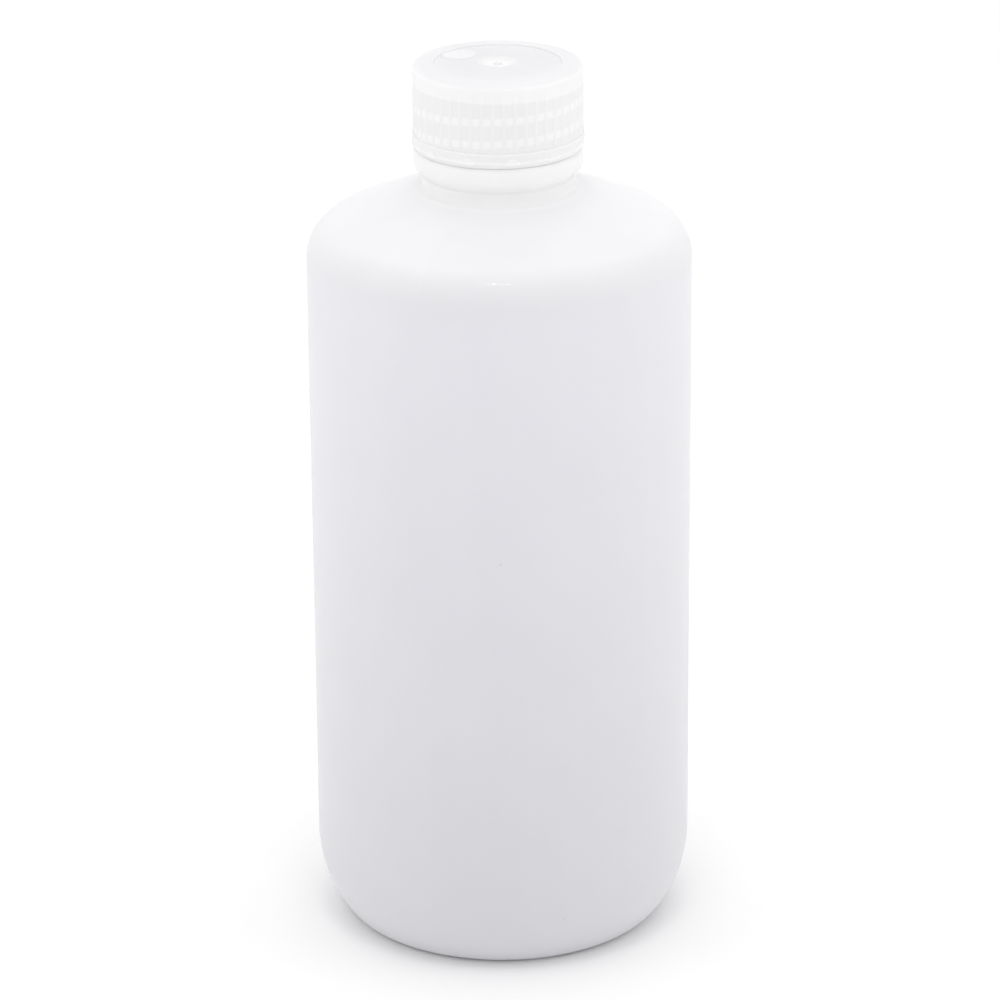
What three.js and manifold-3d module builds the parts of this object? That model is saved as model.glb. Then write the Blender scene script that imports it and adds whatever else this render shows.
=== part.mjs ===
// Narrow-mouth plastic reagent bottle, about 500 mL, with its screw cap and sealing liner.
// Millimetres, +Z up. The origin is on the bottle's axis at the surface it stands on,
// and the front is the -Y side. Unscrewing the cap turns it about +Z and raises it one lead a turn.

import * as THREE from 'three';
import { mergeVertices } from 'three/addons/utils/BufferGeometryUtils.js';
import Module from 'manifold-3d';

const wasm = await Module();
wasm.setup();

// bottle body
const BODY_RADIUS = 36.5;
const WALL = 1.5;
const HEEL_RADIUS = 23.7;
const HEEL_ANGLE = 38;
const FOOT_RADIUS = 4.3;
const FOOT_RING_INNER = 25;
const BASE_RECESS = 2.4;
const WALL_TOP = 134.2;
const SHOULDER_RADIUS = 8;
const SHOULDER_ANGLE = 66;
const DOME_RADIUS = 147;

// neck, bead and finish
const NECK_RADIUS = 14.6;
const NECK_FILLET = 0.8;
const NECK_BORE = 12.7;
const NECK_BORE_TOP = 151;
const BEAD_RADIUS = 15.95;
const BEAD_ROUND = 2;
const BEAD_LAND_BOTTOM = 153.1;
const BEAD_LAND_TOP = 154.85;
const BEAD_TOP_RADIUS = 15.6;
const BEAD_TOP = 155.65;
const FINISH_RADIUS = 12.6;
const FINISH_BORE = 10.3;
const FINISH_BORE_BOTTOM = 155;
const MOUTH_TOP = 168.4;
const MOUTH_ROUND = 0.5;

// cap
const CAP_BOTTOM = 156;
const CAP_LIP_RADIUS = 15.6;
const COLLAR_RADIUS = 16.2;
const COLLAR_BOTTOM = 156.65;
const COLLAR_TOP = 158.8;
const COLLAR_STEP = 0.25;
const SKIRT_RADIUS = 15.85;
const RIB_RADIUS = 16.05;
const RIB_COUNT = 48;
const RIB_FIRST_ANGLE = 3.75;
const RIB_FILL = 0.4;
const RIB_FLANK = 0.12;
const RIB_EMBED = 0.3;
const RIB_RING_INNER = 15.1;
const RIB_TAPER_START = 167.5;
const RIB_TOP = 170.5;
const RIB_TOP_RADIUS = 15.9;
const CAP_EDGE_TOP = 171.8;
const CAP_EDGE_ROUND = 1;
const CAP_CROWN = 0.55;
const PANEL_RADIUS = 11.9;
const PANEL_DEPTH = 0.25;
const GATE_RADIUS = 3.6;
const GATE_DEPTH = 0.6;
const GATE_NUB_RADIUS = 0.7;
const GATE_NUB_HEIGHT = 0.5;
const DISC_RADIUS = 3.2;
const DISC_X = -7.2;
const DISC_Y = 4.8;
const DISC_HEIGHT = 0.2;
const CAP_INNER_RADIUS = 14.3;
const CAP_INNER_TOP = 167;
const LINER_SEAT_RADIUS = 13.2;
const LINER_SEAT_BOTTOM = 167.7;
const CAP_CEILING = 170.3;
const PIP_COUNT = 12;
const PIP_FIRST_ANGLE = 9.5;
const PIP_RADIUS = 1.3;
const PIP_STAND = 0.2;
const PIP_EMBED = 0.4;

// liner
const LINER_RADIUS = 12.7;
const LINER_BOTTOM = 168.7;
const LINER_TOP = 170;

// screw thread, 6 turns to the inch: each ridge is on a helix that passes the front at frontZ
const THREAD_LEAD = 25.4 / 6;
const THREAD_HEIGHT = 1.2;
const THREAD_TURNS = 2;
const THREAD_EMBED = 0.4;
const THREAD_FADE_TURNS = 0.08;
const THREAD_END_SINK = 0.1;
const THREAD_STEPS_PER_TURN = 30;
const BOTTLE_THREAD = {
  wall: FINISH_RADIUS, outward: 1, wallWidth: 2.2, crestWidth: 0.9, frontZ: 154.05, firstTurn: 0.75,
};
const CAP_THREAD = {
  wall: CAP_INNER_RADIUS, outward: -1, wallWidth: 2, crestWidth: 0.7, frontZ: 156.7, firstTurn: 0.15,
};

const SEGMENTS = 48;
const LARGE_ARC_STEPS = 6;
const SMALL_ARC_STEPS = 3;
const DISH_STEPS = 4;

const radians = THREE.MathUtils.degToRad;
const degrees = THREE.MathUtils.radToDeg;
const point = (r, z) => new THREE.Vector2(r, z);

// points of an arc about (r, z), from one angle to the other, in degrees from the outward direction
function arc(r, z, radius, from, to, steps) {
  const points = [];
  for (let i = 0; i <= steps; i += 1) {
    const angle = radians(from + ((to - from) * i) / steps);
    points.push(point(r + radius * Math.cos(angle), z + radius * Math.sin(angle)));
  }
  return points;
}

// closed solid of a geometry, with shared vertices merged and zero-width faces left out
function solid(geometry) {
  geometry.deleteAttribute('normal');
  geometry.deleteAttribute('uv');
  const merged = mergeVertices(geometry, 1e-4);
  const corners = merged.index.array;
  const faces = [];
  for (let i = 0; i < corners.length; i += 3) {
    const [a, b, c] = corners.subarray(i, i + 3);
    if (a !== b && b !== c && c !== a) {
      faces.push(a, b, c);
    }
  }
  const vertProperties = new Float32Array(merged.attributes.position.array);
  const triVerts = new Uint32Array(faces);
  return new wasm.Manifold(new wasm.Mesh({ numProp: 3, vertProperties, triVerts }));
}

function toGeometry(manifold) {
  const mesh = manifold.getMesh();
  const geometry = new THREE.BufferGeometry();
  geometry.setAttribute('position', new THREE.BufferAttribute(mesh.vertProperties, 3));
  geometry.setIndex(new THREE.BufferAttribute(mesh.triVerts, 1));
  geometry.computeVertexNormals();
  return geometry;
}

// a profile of (radius, height) points turned about Z, anticlockwise in the profile's plane
function turned(points, segments) {
  return solid(new THREE.LatheGeometry(points, segments).rotateX(Math.PI / 2));
}

// an outline in the XY plane raised from one height to another
function raised(outline, bottom, top, curveSegments) {
  const options = { depth: top - bottom, bevelEnabled: false, curveSegments };
  return solid(new THREE.ExtrudeGeometry(outline, options).translate(0, 0, bottom));
}

// a ridge of trapezium section wound along a right-hand helix, fading into its wall at both ends;
// outward is 1 for a ridge on the outside of a wall and -1 for one on the inside
function threadRidge({ wall, outward, wallWidth, crestWidth, frontZ, firstTurn }) {
  const section = new THREE.Shape([
    point(-THREAD_EMBED, -wallWidth / 2),
    point(0, -wallWidth / 2),
    point(THREAD_HEIGHT, -crestWidth / 2),
    point(THREAD_HEIGHT, crestWidth / 2),
    point(0, wallWidth / 2),
    point(-THREAD_EMBED, wallWidth / 2),
  ]);
  const steps = THREAD_TURNS * THREAD_STEPS_PER_TURN;
  const geometry = new THREE.ExtrudeGeometry(section, { depth: THREAD_TURNS, steps, bevelEnabled: false });
  const position = geometry.attributes.position;
  for (let i = 0; i < position.count; i += 1) {
    const turn = position.getZ(i);
    const fade = Math.min(1, turn / THREAD_FADE_TURNS, (THREAD_TURNS - turn) / THREAD_FADE_TURNS);
    const stand = Math.max(position.getX(i), 0) * fade + Math.min(position.getX(i), 0);
    const r = wall + outward * (stand - (1 - fade) * THREAD_END_SINK);
    const angle = (firstTurn + turn) * 2 * Math.PI;
    const z = frontZ + (firstTurn + turn) * THREAD_LEAD + position.getY(i);
    position.setXYZ(i, r * Math.sin(angle), -r * Math.cos(angle), z);
  }
  if (outward > 0) {
    for (let i = 0; i < position.count; i += 3) {
      swapVertices(position, i, i + 1);
    }
  }
  return solid(geometry);
}

function swapVertices(position, a, b) {
  const first = new THREE.Vector3().fromBufferAttribute(position, a);
  const second = new THREE.Vector3().fromBufferAttribute(position, b);
  position.setXYZ(a, second.x, second.y, second.z);
  position.setXYZ(b, first.x, first.y, first.z);
}

// the shoulder's dome meets the shoulder's corner arc smoothly
function domeCentre() {
  const angle = radians(SHOULDER_ANGLE);
  const reach = SHOULDER_RADIUS - DOME_RADIUS;
  return point(BODY_RADIUS - SHOULDER_RADIUS + reach * Math.cos(angle), WALL_TOP + reach * Math.sin(angle));
}

// the heel's two arcs and the ring that the bottle stands on, inset from the outside by the wall
function heel(inset) {
  const angle = radians(HEEL_ANGLE);
  const centre = point(
    BODY_RADIUS - HEEL_RADIUS,
    FOOT_RADIUS + (HEEL_RADIUS - FOOT_RADIUS) * Math.sin(angle),
  );
  const footCentre = centre.x + (HEEL_RADIUS - FOOT_RADIUS) * Math.cos(angle);
  return [
    ...arc(footCentre, FOOT_RADIUS, FOOT_RADIUS - inset, -90, -HEEL_ANGLE, SMALL_ARC_STEPS),
    ...arc(centre.x, centre.y, HEEL_RADIUS - inset, -HEEL_ANGLE, 0, LARGE_ARC_STEPS).slice(1),
  ];
}

// the shoulder's corner arc, then its dome as far in as the given radius
function shoulder(inset, innerRadius) {
  const centre = domeCentre();
  const radius = DOME_RADIUS - inset;
  const end = degrees(Math.acos((innerRadius - centre.x) / radius));
  const cornerRadius = SHOULDER_RADIUS - inset;
  return [
    ...arc(BODY_RADIUS - SHOULDER_RADIUS, WALL_TOP, cornerRadius, 0, SHOULDER_ANGLE, LARGE_ARC_STEPS),
    ...arc(centre.x, centre.y, radius, SHOULDER_ANGLE, end, SMALL_ARC_STEPS).slice(1),
  ];
}

// a dish or dome from the axis out to its rim; rise is how far the middle is above the rim
function dish(rimRadius, rimHeight, rise) {
  const points = [];
  for (let i = 0; i <= DISH_STEPS; i += 1) {
    const share = i / DISH_STEPS;
    points.push(point(rimRadius * share, rimHeight + rise * (1 - share ** 2)));
  }
  return points;
}

// the small hollow round where the shoulder turns up into the neck
function neckFillet() {
  const centre = domeCentre();
  const across = NECK_RADIUS + NECK_FILLET - centre.x;
  const rise = Math.sqrt((DOME_RADIUS + NECK_FILLET) ** 2 - across ** 2);
  const contact = 180 + degrees(Math.atan2(rise, across));
  return arc(NECK_RADIUS + NECK_FILLET, centre.y + rise, NECK_FILLET, contact, 180, SMALL_ARC_STEPS);
}

// the bead under the cap: a cone and a round underside, an upright land and a slightly drawn-in top
function neckBead() {
  const slope = BEAD_ROUND * Math.SQRT1_2;
  const underside = point(BEAD_RADIUS - BEAD_ROUND + slope, BEAD_LAND_BOTTOM - slope);
  return [
    point(NECK_RADIUS, underside.y - (underside.x - NECK_RADIUS)),
    ...arc(BEAD_RADIUS - BEAD_ROUND, BEAD_LAND_BOTTOM, BEAD_ROUND, -45, 0, SMALL_ARC_STEPS),
    point(BEAD_RADIUS, BEAD_LAND_TOP),
    point(BEAD_TOP_RADIUS, BEAD_TOP),
    point(FINISH_RADIUS, BEAD_TOP),
  ];
}

function bottleProfile() {
  const fillet = neckFillet();
  const outside = [
    ...dish(FOOT_RING_INNER, 0, BASE_RECESS),
    ...heel(0),
    ...shoulder(0, fillet[0].x).slice(0, -1),
    ...fillet,
    ...neckBead(),
    ...arc(FINISH_RADIUS - MOUTH_ROUND, MOUTH_TOP - MOUTH_ROUND, MOUTH_ROUND, 0, 90, SMALL_ARC_STEPS),
  ];
  const inside = [
    ...dish(FOOT_RING_INNER, WALL, BASE_RECESS),
    ...heel(WALL),
    ...shoulder(WALL, NECK_BORE),
    point(NECK_BORE, NECK_BORE_TOP),
    point(FINISH_BORE, FINISH_BORE_BOTTOM),
    point(FINISH_BORE, MOUTH_TOP),
  ];
  return [...outside, ...inside.reverse()];
}

function bottle() {
  return turned(bottleProfile(), SEGMENTS).add(threadRidge(BOTTLE_THREAD));
}

// height of the cap's slightly crowned top at a radius
function crown(r) {
  return CAP_EDGE_TOP + CAP_CROWN * (1 - (r / SKIRT_RADIUS) ** 2);
}

// height of the recessed panel in the middle of the cap's top
function panel(r) {
  return crown(r) - PANEL_DEPTH;
}

function capProfile() {
  const edge = SKIRT_RADIUS - CAP_EDGE_ROUND;
  const panelMiddle = (GATE_RADIUS + PANEL_RADIUS) / 2;
  const top = [
    ...dish(GATE_RADIUS, panel(GATE_RADIUS), -GATE_DEPTH),
    point(panelMiddle, panel(panelMiddle)),
    point(PANEL_RADIUS, panel(PANEL_RADIUS)),
    point(PANEL_RADIUS + PANEL_DEPTH, crown(PANEL_RADIUS)),
    ...arc(edge, crown(edge) - CAP_EDGE_ROUND, CAP_EDGE_ROUND, 90, 0, SMALL_ARC_STEPS),
  ];
  const outside = [
    point(SKIRT_RADIUS, COLLAR_TOP + COLLAR_STEP),
    point(COLLAR_RADIUS, COLLAR_TOP),
    point(COLLAR_RADIUS, COLLAR_BOTTOM),
    point(CAP_LIP_RADIUS, CAP_BOTTOM),
  ];
  const inside = [
    point(CAP_INNER_RADIUS, CAP_BOTTOM),
    point(CAP_INNER_RADIUS, CAP_INNER_TOP),
    point(LINER_SEAT_RADIUS, LINER_SEAT_BOTTOM),
    point(LINER_SEAT_RADIUS, CAP_CEILING),
    point(0, CAP_CEILING),
  ];
  return [...top, ...outside, ...inside].reverse();
}

// upright grip ribs on a thin ring round the skirt, drawn in towards the top edge
function gripRibs() {
  const pitch = (2 * Math.PI) / RIB_COUNT;
  const outline = [];
  for (let i = 0; i < RIB_COUNT; i += 1) {
    const middle = radians(RIB_FIRST_ANGLE) + i * pitch;
    const foot = (pitch * RIB_FILL) / 2;
    const shoulderAngle = foot - pitch * RIB_FLANK;
    for (const [r, angle] of [
      [SKIRT_RADIUS - RIB_EMBED, middle - foot],
      [RIB_RADIUS, middle - shoulderAngle],
      [RIB_RADIUS, middle + shoulderAngle],
      [SKIRT_RADIUS - RIB_EMBED, middle + foot],
    ]) {
      outline.push(point(r * Math.cos(angle), r * Math.sin(angle)));
    }
  }
  const clear = RIB_RADIUS + RIB_EMBED;
  const envelope = turned([
    point(0, COLLAR_BOTTOM),
    point(clear, COLLAR_BOTTOM),
    point(clear, RIB_TAPER_START),
    point(RIB_RADIUS, RIB_TAPER_START),
    point(RIB_TOP_RADIUS, RIB_TOP),
    point(0, RIB_TOP),
  ], 2 * RIB_COUNT);
  const shape = new THREE.Shape(outline);
  shape.holes.push(new THREE.Path().absarc(0, 0, RIB_RING_INNER, 0, 2 * Math.PI, true));
  return raised(shape, COLLAR_TOP - COLLAR_STEP, RIB_TOP, SEGMENTS / 2).intersect(envelope);
}

// half-round pips in a ring round the collar, flat side down on its lower corner
function collarPips() {
  const outline = new THREE.Shape();
  outline.absarc(0, 0, PIP_RADIUS, 0, Math.PI, false);
  let pips = null;
  for (let i = 0; i < PIP_COUNT; i += 1) {
    const options = { depth: PIP_EMBED + PIP_STAND, bevelEnabled: false, curveSegments: LARGE_ARC_STEPS };
    const geometry = new THREE.ExtrudeGeometry(outline, options);
    geometry.rotateX(Math.PI / 2);
    geometry.translate(0, PIP_EMBED - COLLAR_RADIUS, COLLAR_BOTTOM);
    geometry.rotateZ(radians(PIP_FIRST_ANGLE + (360 * i) / PIP_COUNT));
    const pip = solid(geometry);
    pips = pips ? pips.add(pip) : pip;
  }
  return pips;
}

// an upright disc half sunk in the surface at height z, standing out of it by its own height
function stud(radius, height, x, y, z) {
  const disc = new THREE.CylinderGeometry(radius, radius, 2 * height, SEGMENTS / 2);
  return solid(disc.rotateX(Math.PI / 2).translate(x, y, z));
}

// the small plain disc on the cap's panel, and the nub left by the mould's gate in its dish
function topMarks() {
  const disc = stud(DISC_RADIUS, DISC_HEIGHT, DISC_X, DISC_Y, panel(Math.hypot(DISC_X, DISC_Y)));
  return disc.add(stud(GATE_NUB_RADIUS, GATE_NUB_HEIGHT, 0, 0, panel(GATE_RADIUS) - GATE_DEPTH));
}

function screwCap() {
  return turned(capProfile(), SEGMENTS)
    .add(gripRibs())
    .add(collarPips())
    .add(topMarks())
    .add(threadRidge(CAP_THREAD));
}

function sealingLiner() {
  const thickness = LINER_TOP - LINER_BOTTOM;
  const disc = new THREE.CylinderGeometry(LINER_RADIUS, LINER_RADIUS, thickness, SEGMENTS);
  return solid(disc.rotateX(Math.PI / 2).translate(0, 0, (LINER_TOP + LINER_BOTTOM) / 2));
}

const natural = { color: 0xe6e5ea, roughness: 0.5, metalness: 0 };
const materials = {
  bottle: new THREE.MeshStandardMaterial(natural),
  screw_cap: new THREE.MeshStandardMaterial({ ...natural, color: 0xf1f1f2, roughness: 0.42 }),
  sealing_liner: new THREE.MeshStandardMaterial({ ...natural, color: 0xf4f4f2, roughness: 0.7 }),
};

function named(name, manifold) {
  const mesh = new THREE.Mesh(toGeometry(manifold), materials[name]);
  mesh.name = name;
  return mesh;
}

const object = new THREE.Group();
object.name = 'reagent_bottle';
object.add(named('bottle', bottle()));
object.add(named('sealing_liner', sealingLiner()));
object.add(named('screw_cap', screwCap()));

export default object;
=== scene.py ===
import math

import bpy
import numpy as np
from mathutils import Matrix, Vector


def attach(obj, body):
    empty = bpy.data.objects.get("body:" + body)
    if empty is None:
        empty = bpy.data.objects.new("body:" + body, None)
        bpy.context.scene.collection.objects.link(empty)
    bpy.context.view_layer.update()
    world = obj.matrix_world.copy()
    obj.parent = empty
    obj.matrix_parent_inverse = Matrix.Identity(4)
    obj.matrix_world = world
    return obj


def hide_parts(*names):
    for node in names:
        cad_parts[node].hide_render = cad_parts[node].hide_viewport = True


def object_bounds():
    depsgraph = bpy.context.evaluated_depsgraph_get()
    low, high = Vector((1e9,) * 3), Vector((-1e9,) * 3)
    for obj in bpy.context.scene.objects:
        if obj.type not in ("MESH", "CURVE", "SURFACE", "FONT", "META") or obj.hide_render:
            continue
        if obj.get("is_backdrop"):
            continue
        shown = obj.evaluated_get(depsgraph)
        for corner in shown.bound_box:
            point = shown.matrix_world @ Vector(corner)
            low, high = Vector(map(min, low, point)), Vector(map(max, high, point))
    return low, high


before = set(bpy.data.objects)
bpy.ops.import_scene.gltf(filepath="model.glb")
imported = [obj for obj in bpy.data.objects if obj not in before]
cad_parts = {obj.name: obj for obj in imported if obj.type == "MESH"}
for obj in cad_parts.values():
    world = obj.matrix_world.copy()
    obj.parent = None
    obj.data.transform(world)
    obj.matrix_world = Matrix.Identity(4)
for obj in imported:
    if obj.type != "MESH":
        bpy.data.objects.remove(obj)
cad_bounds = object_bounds()

# Named lengths are in millimetres and named angles in degrees, unless their comment says otherwise.
# Meshes, materials and lights are in metres, and the azimuths in a mesh or material in radians.
MM = 0.001

# The bottle's outline: the CAD model's, but for the bead's top, which differs by up to 0.25 mm
BODY_RADIUS = 36.5
WALL = 1.5
HEEL_RADIUS = 23.7
HEEL_ANGLE = 38
FOOT_RADIUS = 4.3
FOOT_RING_INNER = 25
BASE_RECESS = 2.4
WALL_TOP = 134.2
SHOULDER_RADIUS = 8
SHOULDER_ANGLE = 66
DOME_RADIUS = 147
NECK_RADIUS = 14.6
NECK_FILLET = 0.8
NECK_BORE = 12.7
NECK_BORE_TOP = 151
BEAD_RADIUS = 15.95
BEAD_ROUND = 2
BEAD_LAND_BOTTOM = 153.1
BEAD_LAND_TOP = 154.85
BEAD_TOP_RADIUS = 15.75
BEAD_TOP = 155.88
FINISH_RADIUS = 12.6
FINISH_BORE = 10.3
FINISH_BORE_BOTTOM = 155
MOUTH_TOP = 168.4
MOUTH_ROUND = 0.5
BOTTLE_AZIMUTHS = 240

# The two mould seams, which the CAD model leaves out
SEAM_AZIMUTHS = (-25, 155)
SEAM_HALF_WIDTH = 0.4
SEAM_HEIGHT = 0.035
SEAM_REACH = 3
SEAM_AZIMUTH_STEPS = 41

# The threads: a ridge's turn is where it is on the helix, counted up from the front at front_z
THREAD_LEAD = 25.4 / 6
THREAD_HEIGHT = 1.2
THREAD_TURNS = 2
THREAD_FADE_TURNS = 0.08
BOTTLE_THREAD = {"wall_width": 2.2, "crest_width": 0.9, "front_z": 154.05, "first_turn": 0.75}
CAP_THREAD = {"wall_width": 2, "crest_width": 0.7, "front_z": 156.7, "first_turn": 0.15}

# The cap's outline: the CAD model's, but for the lip, skirt and nub, which differ by up to 0.15 mm
CAP_BOTTOM = 155.9
CAP_LIP_RADIUS = 15.75
COLLAR_RADIUS = 16.2
COLLAR_BOTTOM = 156.65
COLLAR_TOP = 158.8
COLLAR_STEP = 0.25
SKIRT_RADIUS = 15.92
CAP_EDGE_TOP = 171.8
CAP_EDGE_ROUND = 1
CAP_CROWN = 0.55
PANEL_RADIUS = 11.9
PANEL_DEPTH = 0.25
GATE_RADIUS = 3.6
GATE_DEPTH = 0.6
NUB_RADIUS = 0.75
NUB_HEIGHT = 0.5
DISC_RADIUS = 3.2
DISC_CENTRE = (-7.2, 4.8)
DISC_HEIGHT = 0.2
CAP_INNER_RADIUS = 14.3
CAP_INNER_TOP = 167
LINER_SEAT_RADIUS = 13.2
LINER_SEAT_BOTTOM = 167.7
CAP_CEILING = 170.3

RIB_COUNT = 48
RIB_FIRST_ANGLE = 3.75
RIB_HEIGHT = 0.12
RIB_HALF_WIDTH = 0.36
RIB_TAPER_START = 167.5
RIB_TOP = 170.5
PIP_COUNT = 12
PIP_FIRST_ANGLE = 9.5
PIP_RADIUS = 1.3
PIP_STAND = 0.2

CAP_AZIMUTHS_PER_RIB = 10

# The cap's colour: the pale bands that the thread makes, painted light on the lip and painted shade on the
# top. Each pair of heights is where a change of colour starts and ends, and the lines along the ribs are
# given in radians from a rib's middle
BAND_FRONT_Z = 160.7
BAND_WIDTH = 1.4
BANDS_BOTTOM = (158.4, 159.2)
BANDS_TOP = (166.8, 167.2)
# Painted light: up to these heights the lip and the collar's lower edge are painted pale, lifting the shade
# in the groove under the collar
PAINTED_LIGHT_LIP_TOP = (157, 157.5)
PALE_LINER_BOTTOM = (168.1, 168.7)
# Painted shade: from these heights up the top is painted darker than the side, against the overhead light it
# faces
PAINTED_SHADE_TOP_BOTTOM = (170.9, 172)
RIB_LINE = (0.012, 0.03)

# The bottle's colour: how light its wall is painted at the base and at the neck, as painted shade that
# darkens it towards the base, and where it changes
PAINTED_SHADE_RAMP = (0.865, 1.04)
# The shoulder is a less lavender tone and is painted darker, as painted shade against the light it catches
# from above
SHADED_SHOULDER_BOTTOM = (130, 142)
# From the neck up the colour is neutral and painted palest, painted light that lifts the shade under the cap
NECK_BOTTOM = 147.8
NECK_CHANGE = 0.6

LINER_RADIUS = 12.7
LINER_BOTTOM = 168.7
LINER_TOP = 170
LINER_ROUND = 0.25
LINER_PRINT = 0.12
LINER_AZIMUTHS = 96

CAMERA_TARGET = (-0.18, 0, 84.33)
CAMERA_DISTANCE = 915.8
CAMERA_ELEVATION = 21.284
CAMERA_ROLL = -0.43
CAMERA_LENS = 170.77


def smooth_step(value, low, high):
    """0 below low, 1 above high, smooth between."""
    t = np.clip((value - low) / (high - low), 0, 1)
    return t * t * (3 - 2 * t)


def arc(r, z, radius, start, end, steps):
    angles = np.radians(np.linspace(start, end, steps + 1))
    return [(r + radius * math.cos(a), z + radius * math.sin(a)) for a in angles]


def line(first, last, step):
    """Points from first to last, both ends included, no further apart than step."""
    count = max(1, math.ceil(math.dist(first, last) / step))
    return [tuple(np.add(first, np.subtract(last, first) * i / count)) for i in range(count + 1)]


def curve(function, start, end, steps):
    """Points (r, function(r)) from radius start to radius end."""
    return [(r, function(r)) for r in np.linspace(start, end, steps + 1)]


def upside_down(runs):
    """The same outline followed the other way."""
    return [(region, points[::-1]) for region, points in runs[::-1]]


def outline(runs):
    """The points, their outward normals and their regions, for runs of (region, points)."""
    points, regions = [], []
    for region, run in runs:
        for p in run:
            if not points or math.dist(points[-1], p) > 1e-6:
                points.append(p)
                regions.append(region)
    points = np.array(points, float)
    steps = np.diff(points, axis=0)
    steps /= np.linalg.norm(steps, axis=1)[:, None]
    along = np.concatenate([steps[:1], steps[:-1] + steps[1:], steps[-1:]])
    along /= np.linalg.norm(along, axis=1)[:, None]
    return points, np.stack([along[:, 1], -along[:, 0]], 1), np.array(regions)


def full_turn(count):
    """Evenly spaced azimuths, from the front."""
    return np.linspace(0, 2 * math.pi, count, endpoint=False)


def grid_faces(rows, columns):
    """Quads between the rows, and a fan of triangles round each pole."""
    faces = []
    first_pole, last_pole, last_row = rows * columns, rows * columns + 1, (rows - 1) * columns
    for j in range(columns):
        k = (j + 1) % columns
        faces.append((first_pole, k, j))
        faces.append((last_pole, last_row + j, last_row + k))
        for i in range(0, last_row, columns):
            faces.append((i + j, i + k, i + columns + k, i + columns + j))
    return faces


def revolved(name, runs, azimuths, reliefs):
    """A closed smooth mesh: the outline, from axis to axis, turned round Z, azimuth 0 at the front.
    reliefs gives, for a region, how far the surface stands out at each azimuth, radius and height."""
    points, normals, regions = outline(runs)
    rows, columns = len(points) - 2, len(azimuths)
    phi = np.tile(azimuths, (rows, 1))
    r = np.tile(points[1:-1, :1], (1, columns))
    z = np.tile(points[1:-1, 1:], (1, columns))
    stand = np.zeros((rows, columns))
    for region, relief in reliefs.items():
        chosen = regions[1:-1] == region
        stand[chosen] = relief(phi[chosen], r[chosen], z[chosen])
    r = r + stand * normals[1:-1, :1]
    z = z + stand * normals[1:-1, 1:]
    ring = np.stack([r * np.sin(phi), -r * np.cos(phi), z], -1).reshape(-1, 3)
    poles = [(0, 0, points[0][1]), (0, 0, points[-1][1])]
    mesh = bpy.data.meshes.new(name)
    mesh.from_pydata((np.concatenate([ring, poles]) * MM).tolist(), [], grid_faces(rows, columns))
    mesh.polygons.foreach_set("use_smooth", [True] * len(mesh.polygons))
    mesh.set_sharp_from_angle(angle=math.radians(50))
    obj = bpy.data.objects.new(name, mesh)
    bpy.context.scene.collection.objects.link(obj)
    return obj


def thread_relief(wall_width, crest_width, front_z, first_turn):
    """The height of a helical ridge, as a function of azimuth, radius and height."""

    def relief(phi, r, z):
        share = np.mod(phi, 2 * math.pi) / (2 * math.pi)
        level = (z - front_z) / THREAD_LEAD
        turn = np.round(level - share) + share
        off = np.abs(level - turn) * THREAD_LEAD
        flank = smooth_step(-off, -wall_width / 2, -crest_width / 2)
        ends = np.minimum(turn - first_turn, first_turn + THREAD_TURNS - turn)
        return THREAD_HEIGHT * flank * smooth_step(ends, 0, THREAD_FADE_TURNS)

    return relief


def dome_centre():
    angle = math.radians(SHOULDER_ANGLE)
    reach = SHOULDER_RADIUS - DOME_RADIUS
    return BODY_RADIUS - SHOULDER_RADIUS + reach * math.cos(angle), WALL_TOP + reach * math.sin(angle)


def base_dome(inset):
    """From the axis to the ring that the bottle stands on."""
    return curve(lambda r: inset + BASE_RECESS * (1 - (r / FOOT_RING_INNER) ** 2), 0, FOOT_RING_INNER, 21)


def heel(inset):
    angle = math.radians(HEEL_ANGLE)
    foot = BODY_RADIUS - HEEL_RADIUS + (HEEL_RADIUS - FOOT_RADIUS) * math.cos(angle)
    height = FOOT_RADIUS + (HEEL_RADIUS - FOOT_RADIUS) * math.sin(angle)
    corner = arc(foot, FOOT_RADIUS, FOOT_RADIUS - inset, -90, -HEEL_ANGLE, 8)
    return corner + arc(BODY_RADIUS - HEEL_RADIUS, height, HEEL_RADIUS - inset, -HEEL_ANGLE, 0, 14)


def shoulder(inset, inner_radius):
    r, z = dome_centre()
    radius = DOME_RADIUS - inset
    end = math.degrees(math.acos((inner_radius - r) / radius))
    corner = arc(BODY_RADIUS - SHOULDER_RADIUS, WALL_TOP, SHOULDER_RADIUS - inset, 0, SHOULDER_ANGLE, 14)
    return corner + arc(r, z, radius, SHOULDER_ANGLE, end, 16)


def neck_fillet():
    r, z = dome_centre()
    across = NECK_RADIUS + NECK_FILLET - r
    rise = math.sqrt((DOME_RADIUS + NECK_FILLET) ** 2 - across**2)
    contact = 180 + math.degrees(math.atan2(rise, across))
    return arc(NECK_RADIUS + NECK_FILLET, z + rise, NECK_FILLET, contact, 180, 6)


def neck_bead():
    """From the neck, out over the bead's rounded underside and in again to the finish."""
    slope = BEAD_ROUND * math.sqrt(0.5)
    under = (BEAD_RADIUS - BEAD_ROUND + slope, BEAD_LAND_BOTTOM - slope)
    neck_top = (NECK_RADIUS, under[1] - (under[0] - NECK_RADIUS))
    return [
        *line(neck_top, under, 0.3),
        *arc(BEAD_RADIUS - BEAD_ROUND, BEAD_LAND_BOTTOM, BEAD_ROUND, -45, 0, 8),
        *line((BEAD_RADIUS, BEAD_LAND_BOTTOM), (BEAD_RADIUS, BEAD_LAND_TOP), 0.4),
        *line((BEAD_RADIUS, BEAD_LAND_TOP), (BEAD_TOP_RADIUS, BEAD_TOP), 0.4),
        *line((BEAD_TOP_RADIUS, BEAD_TOP), (FINISH_RADIUS, BEAD_TOP), 0.6),
    ]


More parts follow.
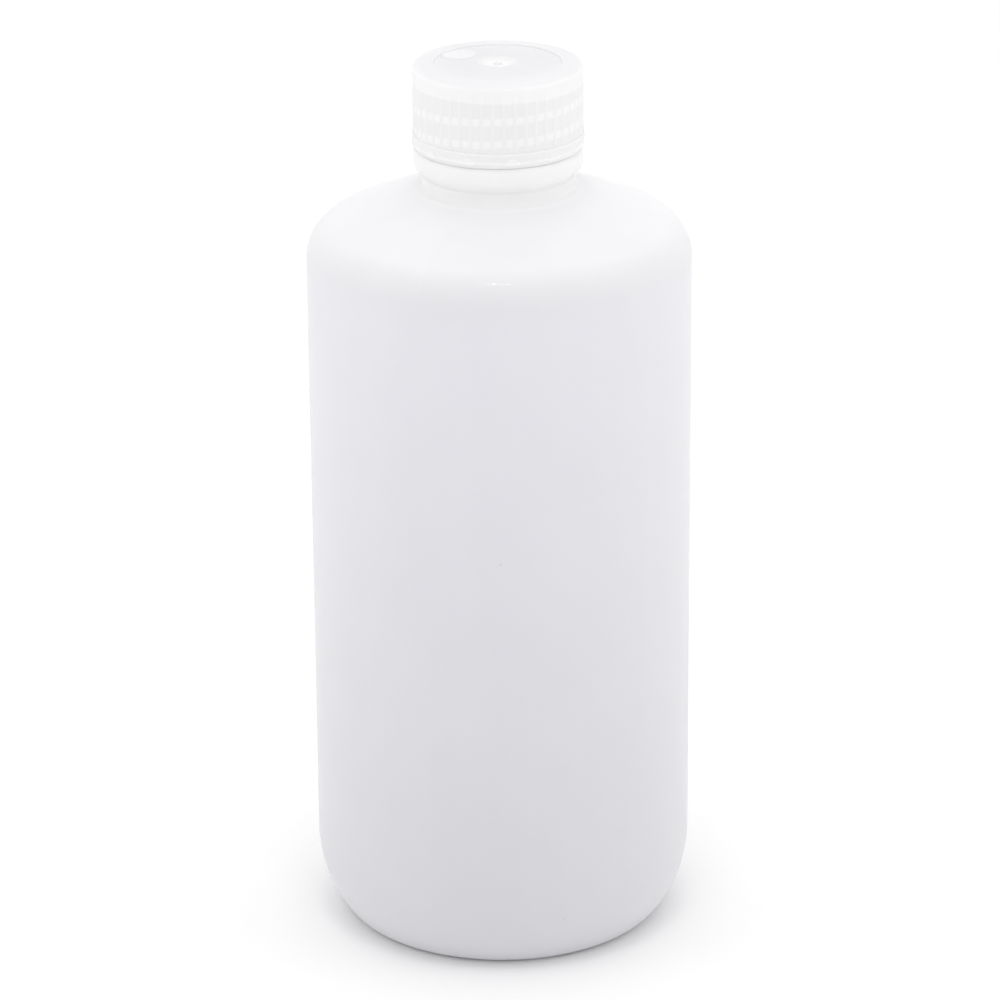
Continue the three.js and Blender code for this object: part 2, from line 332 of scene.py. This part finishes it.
def bottle_outside():
    fillet = neck_fillet()
    bead = neck_bead()
    return [
        ("base", base_dome(0)),
        ("heel", heel(0)),
        ("wall", line((BODY_RADIUS, heel(0)[-1][1]), (BODY_RADIUS, WALL_TOP), 4)),
        ("shoulder", shoulder(0, fillet[0][0])),
        ("shoulder", fillet),
        ("neck", line(fillet[-1], bead[0], 0.6)),
        ("bead", bead),
        ("finish", line((FINISH_RADIUS, BEAD_TOP), (FINISH_RADIUS, MOUTH_TOP - MOUTH_ROUND), 0.25)),
        ("mouth", arc(FINISH_RADIUS - MOUTH_ROUND, MOUTH_TOP - MOUTH_ROUND, MOUTH_ROUND, 0, 90, 5)),
    ]


def bottle_inside():
    """From the axis, up the inside of the wall to the mouth."""
    round_off = MOUTH_ROUND / 2
    return [
        ("inside", base_dome(WALL)),
        ("inside", heel(WALL)),
        ("inside", line((BODY_RADIUS - WALL, heel(WALL)[-1][1]), (BODY_RADIUS - WALL, WALL_TOP), 8)),
        ("inside", shoulder(WALL, NECK_BORE)),
        ("inside", line((NECK_BORE, NECK_BORE_TOP), (FINISH_BORE, FINISH_BORE_BOTTOM), 0.6)),
        ("inside", line((FINISH_BORE, FINISH_BORE_BOTTOM), (FINISH_BORE, MOUTH_TOP - round_off), 2)),
        ("inside", arc(FINISH_BORE + round_off, MOUTH_TOP - round_off, round_off, 180, 90, 4)),
    ]


def seam_relief(phi, r, z):
    """The fine ridge where the halves of the blow mould met."""
    stand = 0
    for azimuth in SEAM_AZIMUTHS:
        turned = np.mod(phi - math.radians(azimuth) + math.pi, 2 * math.pi) - math.pi
        stand = stand + SEAM_HEIGHT * np.exp(-((turned * r / SEAM_HALF_WIDTH) ** 2))
    return stand


def bottle_azimuths():
    """Even steps, with finer ones across the mould seams."""
    even = full_turn(BOTTLE_AZIMUTHS)
    offsets = np.linspace(-SEAM_REACH, SEAM_REACH, SEAM_AZIMUTH_STEPS)
    fine = [math.radians(seam % 360 + offset) for seam in SEAM_AZIMUTHS for offset in offsets]
    far = [a for a in even if min(abs(a - f) for f in fine) > math.radians(0.5)]
    return np.array(sorted(far + fine))


def make_bottle():
    reliefs = {
        "shoulder": seam_relief,
        "neck": seam_relief,
        "finish": thread_relief(**BOTTLE_THREAD),
    }
    runs = bottle_outside() + upside_down(bottle_inside())
    return revolved("bottle_shell", runs, bottle_azimuths(), reliefs)


def crown(r):
    """The height of the cap's slightly crowned top."""
    return CAP_EDGE_TOP + CAP_CROWN * (1 - (r / SKIRT_RADIUS) ** 2)


def cap_inside():
    """From the axis of the ceiling, out over the liner's seat and down the bore to the lip."""
    soft = 0.3
    return [
        ("ceiling", line((0, CAP_CEILING), (LINER_SEAT_RADIUS - soft, CAP_CEILING), 1.5)),
        ("ceiling", [(LINER_SEAT_RADIUS, CAP_CEILING - soft), (LINER_SEAT_RADIUS, LINER_SEAT_BOTTOM)]),
        ("bore", line((CAP_INNER_RADIUS, CAP_INNER_TOP), (CAP_INNER_RADIUS, CAP_BOTTOM), 0.25)),
    ]


def cap_skirt():
    """From the lip up to the rounded top edge."""
    edge = SKIRT_RADIUS - CAP_EDGE_ROUND
    top = crown(edge) - CAP_EDGE_ROUND
    soft = 0.15
    pips_top = COLLAR_BOTTOM + PIP_RADIUS + 0.1
    return [
        ("collar_edge", line((CAP_LIP_RADIUS, CAP_BOTTOM), (COLLAR_RADIUS - soft, COLLAR_BOTTOM), 0.2)),
        ("collar", line((COLLAR_RADIUS, COLLAR_BOTTOM + soft), (COLLAR_RADIUS, pips_top), 0.1)),
        ("collar_edge", line((COLLAR_RADIUS, pips_top), (COLLAR_RADIUS, COLLAR_TOP - soft), 0.4)),
        ("collar_edge", arc(COLLAR_RADIUS - soft, COLLAR_TOP - soft, soft, 0, 90, 4)),
        ("skirt", arc(SKIRT_RADIUS + soft, COLLAR_TOP + soft, soft, 270, 180, 3)),
        ("skirt", line((SKIRT_RADIUS, COLLAR_TOP + COLLAR_STEP), (SKIRT_RADIUS, top), 0.5)),
        ("edge", arc(edge, top, CAP_EDGE_ROUND, 0, 90, 8)),
    ]


def cap_top():
    """From the top edge, over the rim and the recessed panel, to the middle of the gate dish."""
    edge = SKIRT_RADIUS - CAP_EDGE_ROUND
    panel_slope = 0.2
    floor = crown(GATE_RADIUS) - PANEL_DEPTH - GATE_DEPTH
    return [
        ("rim", curve(crown, edge, PANEL_RADIUS + panel_slope, 6)),
        ("panel", curve(lambda r: crown(r) - PANEL_DEPTH, PANEL_RADIUS, GATE_RADIUS, 40)),
        ("gate", curve(lambda r: floor + GATE_DEPTH * (r / GATE_RADIUS) ** 2, GATE_RADIUS, 0, 24)),
    ]


def from_nearest(phi, first, count):
    """The angle from the nearest of count evenly spaced places, the first at the azimuth first."""
    step = 2 * math.pi / count
    return np.mod(phi - math.radians(first) + step / 2, step) - step / 2


def rib_relief(phi, r, z):
    across = np.abs(from_nearest(phi, RIB_FIRST_ANGLE, RIB_COUNT)) * r
    rib = 1 - smooth_step(across, 0.3 * RIB_HALF_WIDTH, RIB_HALF_WIDTH)
    foot = smooth_step(z, COLLAR_TOP + COLLAR_STEP / 2, COLLAR_TOP + 2 * COLLAR_STEP)
    taper = 1 - 0.7 * smooth_step(z, RIB_TAPER_START, RIB_TOP) - 0.3 * smooth_step(z, RIB_TOP - 0.8, RIB_TOP)
    return RIB_HEIGHT * rib * foot * taper


def pip_relief(phi, r, z):
    """Half-round pips, flat side down on the collar's lower edge."""
    across = from_nearest(phi, PIP_FIRST_ANGLE, PIP_COUNT) * r
    inside = PIP_RADIUS - np.hypot(across, z - COLLAR_BOTTOM)
    return PIP_STAND * smooth_step(inside, -0.05, 0.2)


def disc_relief(phi, r, z):
    across = np.hypot(r * np.sin(phi) - DISC_CENTRE[0], -r * np.cos(phi) - DISC_CENTRE[1])
    return DISC_HEIGHT * smooth_step(DISC_RADIUS - across, -0.12, 0.12)


def nub_relief(phi, r, z):
    return NUB_HEIGHT * smooth_step(NUB_RADIUS - r, -0.15, 0.15)


def make_cap():
    reliefs = {
        "bore": thread_relief(**CAP_THREAD),
        "collar": pip_relief,
        "skirt": rib_relief,
        "panel": disc_relief,
        "gate": nub_relief,
    }
    runs = cap_inside() + cap_skirt() + cap_top()
    return revolved("cap_shell", runs, full_turn(CAP_AZIMUTHS_PER_RIB * RIB_COUNT), reliefs)


def print_relief(phi, r, z):
    """The ring that the bottle's mouth presses into the liner's underside."""
    inner = smooth_step(r, FINISH_BORE - 0.4, FINISH_BORE)
    outer = smooth_step(r, FINISH_RADIUS - 0.7, FINISH_RADIUS - 0.3)
    return -LINER_PRINT * inner * (1 - outer)


def make_liner():
    edge = LINER_RADIUS - LINER_ROUND
    runs = [
        ("underside", line((0, LINER_BOTTOM), (edge, LINER_BOTTOM), 0.3)),
        ("rim", arc(edge, LINER_BOTTOM + LINER_ROUND, LINER_ROUND, -90, 0, 4)),
        ("rim", arc(edge, LINER_TOP - LINER_ROUND, LINER_ROUND, 0, 90, 4)),
        ("top", line((edge, LINER_TOP), (0, LINER_TOP), 1.5)),
    ]
    return revolved("liner_disc", runs, full_turn(LINER_AZIMUTHS), {"underside": print_relief})


class Nodes:
    """A material's node tree, with short ways to add and join nodes."""

    def __init__(self, name):
        self.material = bpy.data.materials.new(name)
        self.material.use_nodes = True
        self.tree = self.material.node_tree
        self.shader = self.tree.nodes["Principled BSDF"]
        self.place = self.add("ShaderNodeTexCoord").outputs["Object"]
        self.x, self.y, self.z = self.add("ShaderNodeSeparateXYZ", Vector=self.place).outputs

    def add(self, kind, **inputs):
        node = self.tree.nodes.new(kind)
        for name, value in inputs.items():
            self.join(value, node.inputs[name])
        return node

    def join(self, value, socket):
        if isinstance(value, bpy.types.NodeSocket):
            self.tree.links.new(value, socket)
        else:
            socket.default_value = value

    def surface(self, **inputs):
        """Sets the shader's sockets, their names written with _ for a space."""
        for name, value in inputs.items():
            self.join(value, self.shader.inputs[name.replace("_", " ")])

    def math(self, operation, *values):
        node = self.tree.nodes.new("ShaderNodeMath")
        node.operation = operation
        for socket, value in zip(node.inputs, values):
            self.join(value, socket)
        return node.outputs[0]

    def noise(self, scale, detail=3, stretch=(1, 1, 1)):
        mapping = self.add("ShaderNodeMapping", Vector=self.place, Scale=stretch)
        node = self.add("ShaderNodeTexNoise", Vector=mapping.outputs[0], Scale=scale, Detail=detail)
        return node.outputs["Fac"]

    def between(self, value, low, high, start=0, end=1, kind="LINEAR"):
        """A number from low, where the value is start, to high, where it is end."""
        node = self.add("ShaderNodeMapRange", Value=value)
        node.interpolation_type = kind
        for name, number in (("From Min", start), ("From Max", end), ("To Min", low), ("To Max", high)):
            node.inputs[name].default_value = number
        return node.outputs[0]

    def step(self, value, start, end):
        """0 before start, 1 after end, smooth between."""
        return self.between(value, 0, 1, start, end, "SMOOTHSTEP")

    def above(self, start, end):
        """0 below the height start, 1 above the height end, both in millimetres, smooth between."""
        return self.step(self.z, start * MM, end * MM)

    def below(self, start, end):
        """1 below the height start, 0 above the height end, both in millimetres, straight between."""
        return self.between(self.z, 1, 0, start * MM, end * MM)

    def colour(self, value, low_colour, high_colour, start=0.3, end=0.7):
        """low_colour up to start, high_colour from end on, mixed between."""
        node = self.add("ShaderNodeValToRGB", Fac=value)
        for point, at, rgb in zip(node.color_ramp.elements, (start, end), (low_colour, high_colour)):
            point.position = at
            point.color = (*rgb, 1)
        return node.outputs[0]

    def mix(self, factor, first, second):
        node = self.add("ShaderNodeMixRGB", Fac=factor, Color1=first, Color2=second)
        return node.outputs[0]

    def scaled(self, colour, factor):
        node = self.tree.nodes.new("ShaderNodeVectorMath")
        node.operation = "SCALE"
        self.join(colour, node.inputs[0])
        self.join(factor, node.inputs["Scale"])
        return node.outputs[0]

    def thread_band(self, azimuth, front_z, width, soft=0.15):
        """1 on a band that climbs with the thread, 0 between its turns."""
        level = self.math("DIVIDE", self.math("SUBTRACT", self.z, front_z * MM), THREAD_LEAD * MM)
        turn = self.math("SUBTRACT", level, self.math("DIVIDE", azimuth, 2 * math.pi))
        off = self.math("PINGPONG", turn, 0.5)
        edges = ((width / 2 - soft) / THREAD_LEAD, (width / 2 + soft) / THREAD_LEAD)
        return self.between(off, 1, 0, *edges, "SMOOTHSTEP")

    def distance(self, centre=(0, 0)):
        """How far a point is from a vertical line through centre, which is in millimetres."""
        across = self.math("SUBTRACT", self.x, centre[0] * MM)
        along = self.math("SUBTRACT", self.y, centre[1] * MM)
        squares = self.math("ADD", self.math("POWER", across, 2), self.math("POWER", along, 2))
        return self.math("SQRT", squares)

    def disc(self, radius, centre=(0, 0), soft=0.25):
        """1 inside a circle seen from above, 0 outside."""
        edges = ((radius - soft) * MM, (radius + soft) * MM)
        return self.between(self.distance(centre), 1, 0, *edges, "SMOOTHSTEP")

    def specks(self, scale, darkest):
        """1, but darkest in a few tiny specks."""
        cells = self.add("ShaderNodeTexVoronoi", Vector=self.place, Scale=scale)
        return self.between(cells.outputs["Distance"], darkest, 1, 0.005, 0.02, "SMOOTHSTEP")

    def bump(self, height, distance, strength, below=None):
        node = self.add("ShaderNodeBump", Height=height, Distance=distance, Strength=strength)
        if below is not None:
            self.join(below, node.inputs["Normal"])
        return node.outputs[0]


def bottle_material():
    """Milky plastic with painted shade: darker towards the base, a less lavender shoulder painted darker,
    and a neutral neck painted palest as light under the cap.
    """
    n = Nodes("natural_polyethylene")
    cloud = n.noise(38, 4)
    streaks = n.noise(160, 3, (1, 1, 0.06))
    mixed = n.math("ADD", n.math("MULTIPLY", cloud, 0.65), n.math("MULTIPLY", streaks, 0.35))
    milky = n.colour(mixed, (0.765, 0.758, 0.794), (0.785, 0.78, 0.811))
    neutral_shaded_shoulder = n.colour(mixed, (0.737, 0.734, 0.75), (0.756, 0.753, 0.767))
    # Painted shade: the shoulder is painted darker than the wall below it, and less lavender
    wall = n.mix(n.above(*SHADED_SHOULDER_BOTTOM), milky, neutral_shaded_shoulder)
    # Painted shade: the wall is darker towards the base and lighter towards the neck
    painted_shade_wall = n.scaled(wall, n.between(n.z, *PAINTED_SHADE_RAMP, 0, NECK_BOTTOM * MM))
    # Painted light: the neck is neutral and painted palest, lifting the shade under the cap's collar
    neck_tone_and_painted_light = n.colour(cloud, (0.91, 0.91, 0.91), (0.93, 0.93, 0.93))
    plastic = n.mix(n.above(NECK_BOTTOM - NECK_CHANGE, NECK_BOTTOM + NECK_CHANGE), painted_shade_wall, neck_tone_and_painted_light)
    grain = n.bump(n.noise(2600, 2), 0.02 * MM, 0.5)
    n.surface(
        Base_Color=n.scaled(plastic, n.specks(100, 0.7)),
        Roughness=n.between(n.noise(90, 4), 0.46, 0.58),
        Specular_IOR_Level=0.05,
        Coat_Weight=0.2,
        Coat_Roughness=0.05,
        Subsurface_Weight=1.0,
        Subsurface_Radius=(1.0, 0.95, 1.05),
        Subsurface_Scale=0.4 * MM,
        IOR=1.5,
        Normal=n.bump(streaks, 0.05 * MM, 0.4, grain),
    )
    return n.material


def cap_material():
    """Milky plastic, paler where the thread backs it and darker in thin lines along the ribs, with painted
    light on the lip and painted shade that darkens the top.
    """
    n = Nodes("natural_polypropylene")
    azimuth = n.math("ARCTAN2", n.x, n.math("MULTIPLY", n.y, -1))
    cloud = n.noise(70, 4)
    rib_step = 2 * math.pi / RIB_COUNT
    off_rib = n.math("PINGPONG", n.math("SUBTRACT", azimuth, math.radians(RIB_FIRST_ANGLE)), rib_step / 2)
    between_ribs = n.step(off_rib, *RIB_LINE)
    over_bore = n.math("MULTIPLY", n.above(*BANDS_BOTTOM), n.below(*BANDS_TOP))
    band = n.thread_band(azimuth, BAND_FRONT_Z, BAND_WIDTH)
    over_bands = n.math("MULTIPLY", n.math("MULTIPLY", band, over_bore), between_ribs)
    # Painted light on the lip: below the lip heights the side is painted pale, lifting the groove's shade;
    # above the liner heights it is pale as well
    ends = n.math("MAXIMUM", n.above(*PALE_LINER_BOTTOM), n.below(*PAINTED_LIGHT_LIP_TOP))
    pale = n.math("MAXIMUM", over_bands, ends)
    thin_wall = n.colour(cloud, (0.862, 0.86, 0.869), (0.877, 0.876, 0.884))
    # The thick wall's pale colour, also painted on the lip as light
    thick_wall_and_lit_lip = n.colour(cloud, (0.91, 0.91, 0.91), (0.925, 0.925, 0.925))
    side = n.mix(pale, thin_wall, thick_wall_and_lit_lip)
    # Painted shade: the rim and the panel are painted darker than the side, the panel darker still
    rim = n.colour(cloud, (0.725, 0.722, 0.74), (0.745, 0.742, 0.755))
    panel = n.colour(cloud, (0.695, 0.692, 0.712), (0.715, 0.713, 0.727))
    marks = n.math("MAXIMUM", n.disc(GATE_RADIUS), n.disc(DISC_RADIUS, DISC_CENTRE))
    pale_marks = n.colour(cloud, (0.74, 0.74, 0.748), (0.755, 0.755, 0.76))
    top = n.mix(marks, n.mix(n.disc(PANEL_RADIUS, soft=0.8), rim, panel), pale_marks)
    plastic = n.mix(n.above(*PAINTED_SHADE_TOP_BOTTOM), side, top)
    n.surface(
        Base_Color=n.scaled(plastic, n.specks(180, 0.6)),
        Roughness=n.between(n.noise(140, 3), 0.34, 0.46),
        Specular_IOR_Level=0.25,
        Subsurface_Weight=1.0,
        Subsurface_Radius=(1.0, 1.0, 1.0),
        Subsurface_Scale=0.4 * MM,
        IOR=1.49,
        Normal=n.bump(n.noise(3000, 2), 0.015 * MM, 0.5),
    )
    return n.material


def liner_material():
    n = Nodes("foam_liner")
    cells = n.add("ShaderNodeTexVoronoi", Vector=n.place, Scale=2200)
    speck = n.noise(400, 3)
    n.surface(
        Base_Color=n.colour(speck, (0.88, 0.88, 0.86), (0.94, 0.94, 0.93)),
        Roughness=n.between(speck, 0.62, 0.8),
        Subsurface_Weight=0.4,
        Subsurface_Scale=1.0 * MM,
        Normal=n.bump(cells.outputs["Distance"], 0.06 * MM, 0.6),
    )
    return n.material


def stand_for(piece, node, body, material):
    piece.data.materials.append(material)
    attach(piece, body)
    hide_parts(node)


def make_camera():
    elevation = math.radians(CAMERA_ELEVATION)
    roll = math.radians(CAMERA_ROLL)
    forward = Vector((0, math.cos(elevation), -math.sin(elevation)))
    up = Vector((0, math.sin(elevation), math.cos(elevation)))
    right = Vector((1, 0, 0))
    turned_right = right * math.cos(roll) + up * math.sin(roll)
    turned_up = up * math.cos(roll) - right * math.sin(roll)
    data = bpy.data.cameras.new("camera")
    data.sensor_width = 36
    data.lens = CAMERA_LENS
    data.clip_start = 0.01
    data.clip_end = 50
    camera = bpy.data.objects.new("camera", data)
    axes = Matrix((turned_right, turned_up, -forward)).transposed()
    place = (Vector(CAMERA_TARGET) - forward * CAMERA_DISTANCE) * MM
    camera.matrix_world = Matrix.Translation(place) @ axes.to_4x4()
    bpy.context.scene.collection.objects.link(camera)
    bpy.context.scene.camera = camera


def softbox(name, place, target, size, power):
    """A rectangular light, its place, target and size in metres and its power in watts."""
    data = bpy.data.lights.new(name, "AREA")
    data.shape = "RECTANGLE"
    data.size, data.size_y = size
    data.energy = power
    light = bpy.data.objects.new(name, data)
    light.location = place
    light.rotation_euler = (Vector(target) - Vector(place)).to_track_quat("-Z", "Y").to_euler()
    bpy.context.scene.collection.objects.link(light)


def make_world():
    world = bpy.data.worlds.new("studio")
    bpy.context.scene.world = world
    world.use_nodes = True
    background = world.node_tree.nodes["Background"]
    background.inputs["Color"].default_value = (1, 1, 1, 1)
    background.inputs["Strength"].default_value = 0.9


def make_floor():
    half = 6
    corners = [(-half, -half, 0), (half, -half, 0), (half, half, 0), (-half, half, 0)]
    mesh = bpy.data.meshes.new("floor")
    mesh.from_pydata(corners, [], [(0, 1, 2, 3)])
    floor = bpy.data.objects.new("floor", mesh)
    bpy.context.scene.collection.objects.link(floor)
    n = Nodes("pale_floor")
    n.surface(Base_Color=(0.96, 0.96, 0.96, 1), Roughness=0.9)
    mesh.materials.append(n.material)
    floor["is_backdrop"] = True


def make_studio():
    bpy.context.scene.view_settings.view_transform = "Standard"
    make_world()
    make_floor()
    softbox("overhead", (0, 0.25, 1), (0, 0.25, 0), (1.2, 1), 2.4)
    softbox("left", (-0.55, -0.15, 0.4), (0, 0, 0.1), (0.3, 0.45), 0.16)
    softbox("right", (0.55, -0.15, 0.4), (0, 0, 0.1), (0.3, 0.45), 0.2)
    softbox("front", (0, -0.19, 0.572), (0, -0.034, 0.14), (0.15, 0.012), 0.22)


def write_sizes():
    boxes = {"cad": cad_bounds, "visual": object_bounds()}
    {name: [list(corner) for corner in box] for name, box in boxes.items()}


stand_for(make_bottle(), "bottle", "bottle", bottle_material())
stand_for(make_cap(), "screw_cap", "cap", cap_material())
stand_for(make_liner(), "sealing_liner", "liner", liner_material())
make_camera()
make_studio()
write_sizes()
